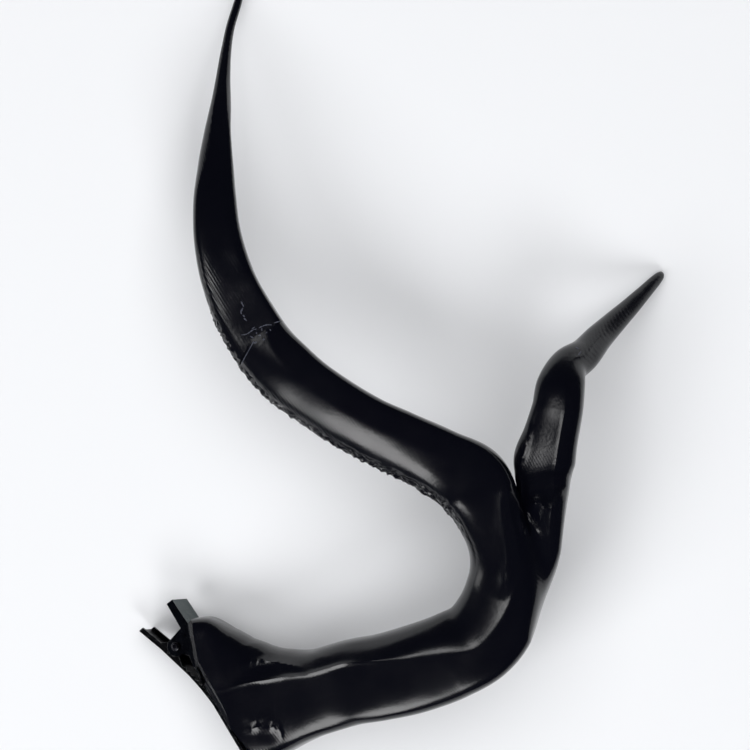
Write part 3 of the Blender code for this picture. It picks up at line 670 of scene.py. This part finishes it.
def rim_cutter(hinge):
    """What rounds the foot's rim back to the near side of the clip, along the upper arm's face."""
    edge = CLIP_WIDTH / 2 + GLUE_GAP
    face = offset_line(upper_face()[1:], GLUE_GAP)
    bend = [(RIM_RISE * sin(a), RIM_ROUND * (1 - cos(a))) for a in (0, radians(30), radians(60))]
    places = [(face[0][0] - CUT_REACH, face[0][1])] + face + [(face[-1][0] + CUT_REACH, face[-1][1])]
    rings = []
    for x, height in places:
        profile = [(height - CUT_REACH, edge)] + [(height + up, edge + out) for up, out in bend]
        profile += [(height + RIM_TOP, edge + RIM_ROUND), (height + RIM_TOP, edge + CUT_REACH)]
        profile += [(height - CUT_REACH, edge + CUT_REACH)]
        rings.append([Vector((x, up, out)) for up, out in profile])
    cutter = add_mesh("rim_cutter", mesh_from_rings("rim_cutter", rings))
    cutter.data.transform(clip_matrix(hinge))
    return cutter


def seam_cutter():
    """What lies beyond the glue seam, as a plate standing on the kinked seam line."""
    line = [plan_point(pixel, ARCH_HEIGHT) for pixel in SEAM]
    far = CUT_REACH * 4
    profile = line + [(line[-1][0], line[-1][1] + far), (line[0][0], line[0][1] + far)]
    return add_mesh("seam_cutter", prism("seam_cutter", profile, -far, far))


def keep_in_box(mesh, low, high):
    """Hold every point inside the solids' box."""
    points, _ = read_mesh(mesh)
    write_mesh(mesh, np.clip(points, low, high))


def feed(links, source, socket):
    """Give a socket its value: another node's output, or a plain number, vector or colour."""
    if isinstance(source, bpy.types.NodeSocket):
        links.new(source, socket)
    else:
        socket.default_value = source


def spread(nodes, links, value, low=0.0, high=1.0, start=0.0, end=1.0):
    """A value between two levels, carried over to another range."""
    levels = nodes.new("ShaderNodeMapRange")
    levels.inputs["From Min"].default_value = low
    levels.inputs["From Max"].default_value = high
    levels.inputs["To Min"].default_value = start
    levels.inputs["To Max"].default_value = end
    links.new(value, levels.inputs["Value"])
    return levels.outputs["Result"]


def noise_share(nodes, links, scale, low, high):
    """A share from 0 to 1 that wanders over the surface, from noise between two levels."""
    place = nodes.new("ShaderNodeTexCoord")
    grain = nodes.new("ShaderNodeTexNoise")
    grain.inputs["Scale"].default_value = scale
    grain.inputs["Detail"].default_value = 4
    links.new(place.outputs["Object"], grain.inputs["Vector"])
    return spread(nodes, links, grain.outputs["Fac"], low=low, high=high)


def calculate(nodes, links, operation, first, second=None):
    """The result of a sum on one value or two."""
    step = nodes.new("ShaderNodeMath")
    step.operation = operation
    feed(links, first, step.inputs[0])
    if second is not None:
        feed(links, second, step.inputs[1])
    return step.outputs["Value"]


def dot_product(nodes, links, first, second):
    """How far one direction runs along another."""
    step = nodes.new("ShaderNodeVectorMath")
    step.operation = "DOT_PRODUCT"
    feed(links, first, step.inputs[0])
    feed(links, second, step.inputs[1])
    return step.outputs["Value"]


def blend_colours(nodes, links, share, first, second):
    """A colour between two, by a share of the second."""
    mix = nodes.new("ShaderNodeMix")
    mix.data_type = "RGBA"
    feed(links, share, mix.inputs["Factor"])
    feed(links, first, mix.inputs["A"])
    feed(links, second, mix.inputs["B"])
    return mix.outputs["Result"]


def add_bump(nodes, links, height, depth, under=None):
    """Normals that follow a height map."""
    bump = nodes.new("ShaderNodeBump")
    bump.inputs["Strength"].default_value = 1.0
    bump.inputs["Distance"].default_value = depth
    links.new(height, bump.inputs["Height"])
    if under:
        links.new(under, bump.inputs["Normal"])
    return bump.outputs["Normal"]


def new_material(name):
    """A material with its nodes, its links and its shader."""
    material = bpy.data.materials.new(name)
    material.use_nodes = True
    tree = material.node_tree
    return material, tree.nodes, tree.links, tree.nodes["Principled BSDF"]


def print_lines(nodes, links):
    """Heights of fine slanting print lines, from -1 to 1."""
    place = nodes.new("ShaderNodeTexCoord")
    run = (cos(LINE_TURN), sin(LINE_TURN), LINE_LEAN)
    way = dot_product(nodes, links, place.outputs["Object"], run)
    turn = calculate(nodes, links, "MULTIPLY", way, 2 * pi / LINE_SPACING)
    return calculate(nodes, links, "SINE", turn)


def black_print(name):
    """Glossy black printed plastic: print lines in patches, faint scuffs and an uneven sheen."""
    material, nodes, links, shader = new_material(name)
    shader.inputs["Base Color"].default_value = BLACK_PLASTIC
    patches = noise_share(nodes, links, PATCH_SCALE, low=0.42, high=0.62)
    lines = calculate(nodes, links, "MULTIPLY", print_lines(nodes, links), patches)
    scuffs = noise_share(nodes, links, SCUFF_SCALE, low=0.35, high=0.65)
    scuffed = add_bump(nodes, links, scuffs, SCUFF_DEPTH)
    links.new(add_bump(nodes, links, lines, LINE_DEPTH, scuffed), shader.inputs["Normal"])
    smooth, dull = PLASTIC_ROUGHNESS
    sheen = noise_share(nodes, links, SHEEN_SCALE, low=0.35, high=0.65)
    links.new(spread(nodes, links, sheen, start=smooth, end=dull), shader.inputs["Roughness"])
    return material


def dry_glue(name):
    """Pale dried glue with a rough skin."""
    material, nodes, links, shader = new_material(name)
    shader.inputs["Base Color"].default_value = GLUE_COLOUR
    shader.inputs["Roughness"].default_value = GLUE_ROUGHNESS
    grain = noise_share(nodes, links, GRAIN_SCALE, low=0.3, high=0.7)
    links.new(add_bump(nodes, links, grain, GRAIN_DEPTH), shader.inputs["Normal"])
    return material


def edge_wear(nodes, links):
    """1 beside an edge and 0 on a flat face, broken up by noise."""
    true_face = nodes.new("ShaderNodeNewGeometry")
    eased_face = nodes.new("ShaderNodeBevel")
    eased_face.inputs["Radius"].default_value = WORN_EDGE
    alike = dot_product(nodes, links, true_face.outputs["True Normal"], eased_face.outputs["Normal"])
    edge = spread(nodes, links, alike, low=0.995, high=0.93)
    rubbing = noise_share(nodes, links, RUB_SCALE, low=0.40, high=0.55)
    return calculate(nodes, links, "MULTIPLY", edge, rubbing)


def paint_with_reflection(nodes, links, colour, reflection_colour, side):
    """Paint made paler on the faces of one side: a painted reflection of the light that falls on them."""
    true_face = nodes.new("ShaderNodeNewGeometry")
    facing = dot_product(nodes, links, true_face.outputs["True Normal"], side)
    reflected = spread(nodes, links, facing, low=0.80, high=0.90)
    return blend_colours(nodes, links, reflected, colour, reflection_colour)


def worn_metal(name, colour, wear, reflection_colour=None, reflection_side=None):
    """Dark painted sheet metal, bright along its edges, speckled with wear and perhaps paler on one side as a
    painted reflection.
    """
    material, nodes, links, shader = new_material(name)
    shader.inputs["Metallic"].default_value = 1.0
    specks = noise_share(nodes, links, SPECK_SCALE, low=0.60, high=0.66)
    speckled = calculate(nodes, links, "MULTIPLY", specks, wear)
    bare = calculate(nodes, links, "MAXIMUM", edge_wear(nodes, links), speckled)
    paint = colour
    # the faces of one side are made paler: a painted reflection, not wear
    if reflection_side is not None:
        paint = paint_with_reflection(nodes, links, colour, reflection_colour, reflection_side)
    links.new(blend_colours(nodes, links, bare, paint, BARE_METAL), shader.inputs["Base Color"])
    smooth, dull = METAL_ROUGHNESS
    gloss = noise_share(nodes, links, GLOSS_SCALE, low=0.35, high=0.65)
    links.new(spread(nodes, links, gloss, start=smooth, end=dull), shader.inputs["Roughness"])
    dents = noise_share(nodes, links, DENT_SCALE, low=0.30, high=0.70)
    links.new(add_bump(nodes, links, dents, DENT_DEPTH), shader.inputs["Normal"])
    return material


def tip_table():
    """The main branch as the beam's tip was printed: flat-topped right down to the glue seam."""
    flat = MAIN[SEAM_ROW + 1]
    near_seam = [station._replace(crest=flat.crest, fall_left=flat.fall_left, left=flat.left,
                                  fall_right=flat.fall_right, right=flat.right, soft=flat.soft)
                 for station in MAIN[:SEAM_ROW + 1]]
    return near_seam + MAIN[SEAM_ROW + 1:]


def add_branch(name, table, width, depth, sides, shift):
    """A whole branch in the scene's place."""
    item = add_mesh(name, branch(name, table, width, depth, sides))
    item.data.transform(shift)
    return item


def finish_print(piece, node, plastic, low, high):
    """Relief, look and body of a printed piece that stands for a node of the frame."""
    crease_surface(piece.data, CREASES)
    roughen_edge(piece.data, ROUGH_EDGE, STUB_REACH, STUB_HEIGHT, STUB_GRAIN)
    wave_surface(piece.data, WAVE_GRAIN, WAVE_HEIGHT)
    keep_in_box(piece.data, low, high)
    piece.data.materials.clear()
    piece.data.materials.append(plastic)
    piece.data.shade_smooth()
    piece.data.set_sharp_from_angle(angle=SHARP_FROM)
    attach(piece, "horn")
    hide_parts(node)


def make_horn(hinge, low, high):
    """The horn and the beam's tip, cut apart at the glue seam."""
    pin = Vector((PIN_ACROSS * HORN_SPAN, PIN_ALONG * HORN_RISE, PIN_LIFT * ARCH_HEIGHT))
    shift = Matrix.Translation(hinge - pin)
    horn = add_branch("horn_print", MAIN, NECK_WIDTH, NECK_DEPTH, MAIN_SIDES, shift)
    tip = add_branch("beam_tip_print", tip_table(), NECK_WIDTH, NECK_DEPTH, MAIN_SIDES, shift)
    combine(tip, seam_cutter(), "INTERSECT")
    combine(horn, seam_cutter(), "DIFFERENCE")
    tine = add_branch("tine", TINE, TINE_WIDTH, TINE_DEPTH, TINE_SIDES, shift)
    combine(horn, tine, "UNION")
    fill_join(horn.data, ROOT_JOIN, ROOT_REACH, ROOT_PASSES)
    combine(horn, foot_cutter(hinge), "DIFFERENCE")
    combine(horn, rim_cutter(hinge), "DIFFERENCE")
    plastic = black_print("black_print_look")
    finish_print(horn, "horn", plastic, low, high)
    finish_print(tip, "beam_tip", plastic, low, high)
    add_glue((horn, tip))


def add_glue(pieces):
    """Dried glue: the beads along the seam, their crumbs, and two scars."""
    surfaces = bmesh.new()
    for piece in pieces:
        surfaces.from_mesh(piece.data)
    surface = BVHTree.FromBMesh(surfaces)
    surfaces.free()
    glue = bmesh.new()
    for lines, radius in ((GLUE_LINES, BEAD_RADIUS), (SEAM_CRUMBS + BEAM_SCAR + TINE_SCAR, CRUMB_RADIUS)):
        for line in lines:
            bead = mesh_from_rings("bead", lumpy_tube(surface, line, radius))
            glue.from_mesh(bead)
            bpy.data.meshes.remove(bead)
    mesh = bpy.data.meshes.new("seam_glue")
    glue.to_mesh(mesh)
    glue.free()
    mesh.materials.append(dry_glue("dry_glue_look"))
    mesh.shade_smooth()
    item = add_mesh("seam_glue", mesh)
    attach(item, "horn")


def dress_clip(nodes):
    """Metal looks and soft edges for the clip's own solids."""
    outward = clip_matrix(Vector((0, 0, 0))) @ Vector((0, 1, 0))
    looks = {
        # the upper arm's outward face gets a painted reflection in its colour
        "clip_upper_arm": worn_metal("upper_arm_look", ARM_PAINT, wear=0.03,
                                     reflection_colour=ARM_PAINTED_REFLECTION, reflection_side=outward),
        "clip_lower_jaw": worn_metal("lower_jaw_look", JAW_PAINT, wear=0.15),
        "clip_pin": worn_metal("pin_look", PIN_STEEL, wear=0.1),
        "clip_spring": worn_metal("spring_look", SPRING_STEEL, wear=0.1),
    }
    for name, look in looks.items():
        for slot in nodes[name].material_slots:
            slot.material = look
        edge = nodes[name].modifiers.new("edge", "BEVEL")
        edge.width = SOFT_EDGE
        edge.segments = 2


def add_floor():
    """A pale table."""
    corners = [(TABLE_HALF * x, TABLE_HALF * y, 0) for x, y in ((-1, -1), (1, -1), (1, 1), (-1, 1))]
    mesh = bpy.data.meshes.new("table")
    mesh.from_pydata(corners, [], [(0, 1, 2, 3)])
    floor = add_mesh("table", mesh)
    material, _, _, shader = new_material("table_look")
    shader.inputs["Base Color"].default_value = TABLE_COLOUR
    shader.inputs["Roughness"].default_value = TABLE_ROUGHNESS
    mesh.materials.append(material)


def add_light(light):
    """A square light that faces the middle of the horn."""
    data = bpy.data.lights.new(light.name, "AREA")
    data.size = light.size
    data.energy = light.power
    lamp = bpy.data.objects.new(light.name, data)
    bpy.context.scene.collection.objects.link(lamp)
    lamp.location = light.place
    lamp.rotation_euler = (-Vector(light.place)).to_track_quat("-Z", "Y").to_euler()
    lamp.visible_glossy = light.glossy
    lamp.visible_diffuse = light.diffuse


def add_world():
    """Dim light from all round, a little brighter towards the horizon."""
    world = bpy.data.worlds.new("room")
    bpy.context.scene.world = world
    world.use_nodes = True
    nodes, links = world.node_tree.nodes, world.node_tree.links
    back = nodes["Background"]
    place = nodes.new("ShaderNodeTexCoord")
    split = nodes.new("ShaderNodeSeparateXYZ")
    shades = nodes.new("ShaderNodeValToRGB")
    low, high = shades.color_ramp.elements
    low.position = HORIZON_LEVEL
    low.color = HORIZON_LIGHT
    high.position = OVERHEAD_LEVEL
    high.color = OVERHEAD_LIGHT
    links.new(place.outputs["Generated"], split.inputs[0])
    links.new(split.outputs["Z"], shades.inputs["Fac"])
    links.new(shades.outputs["Color"], back.inputs["Color"])
    back.inputs["Strength"].default_value = ROOM_STRENGTH


def add_camera():
    """Straight down on the table, as the photograph was taken."""
    data = bpy.data.cameras.new("camera")
    data.sensor_width = SENSOR
    data.lens = SENSOR * CAMERA_HEIGHT / VIEW_WIDTH
    camera = bpy.data.objects.new("camera", data)
    bpy.context.scene.collection.objects.link(camera)
    camera.location = (*VIEW_CENTRE, CAMERA_HEIGHT)
    bpy.context.scene.camera = camera


def plain(box):
    """A box as plain lists of numbers."""
    return [[float(value) for value in corner] for corner in box]


def main():
    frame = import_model()
    cad_box = plain(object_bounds())
    hinge = Vector(frame["joints"][0]["pos_m"])
    make_horn(hinge, *cad_box)
    dress_clip(frame["nodes"])
    add_floor()
    for light in LIGHTS:
        add_light(light)
    add_world()
    add_camera()
    bpy.context.scene.view_settings.view_transform = "Standard"


main()
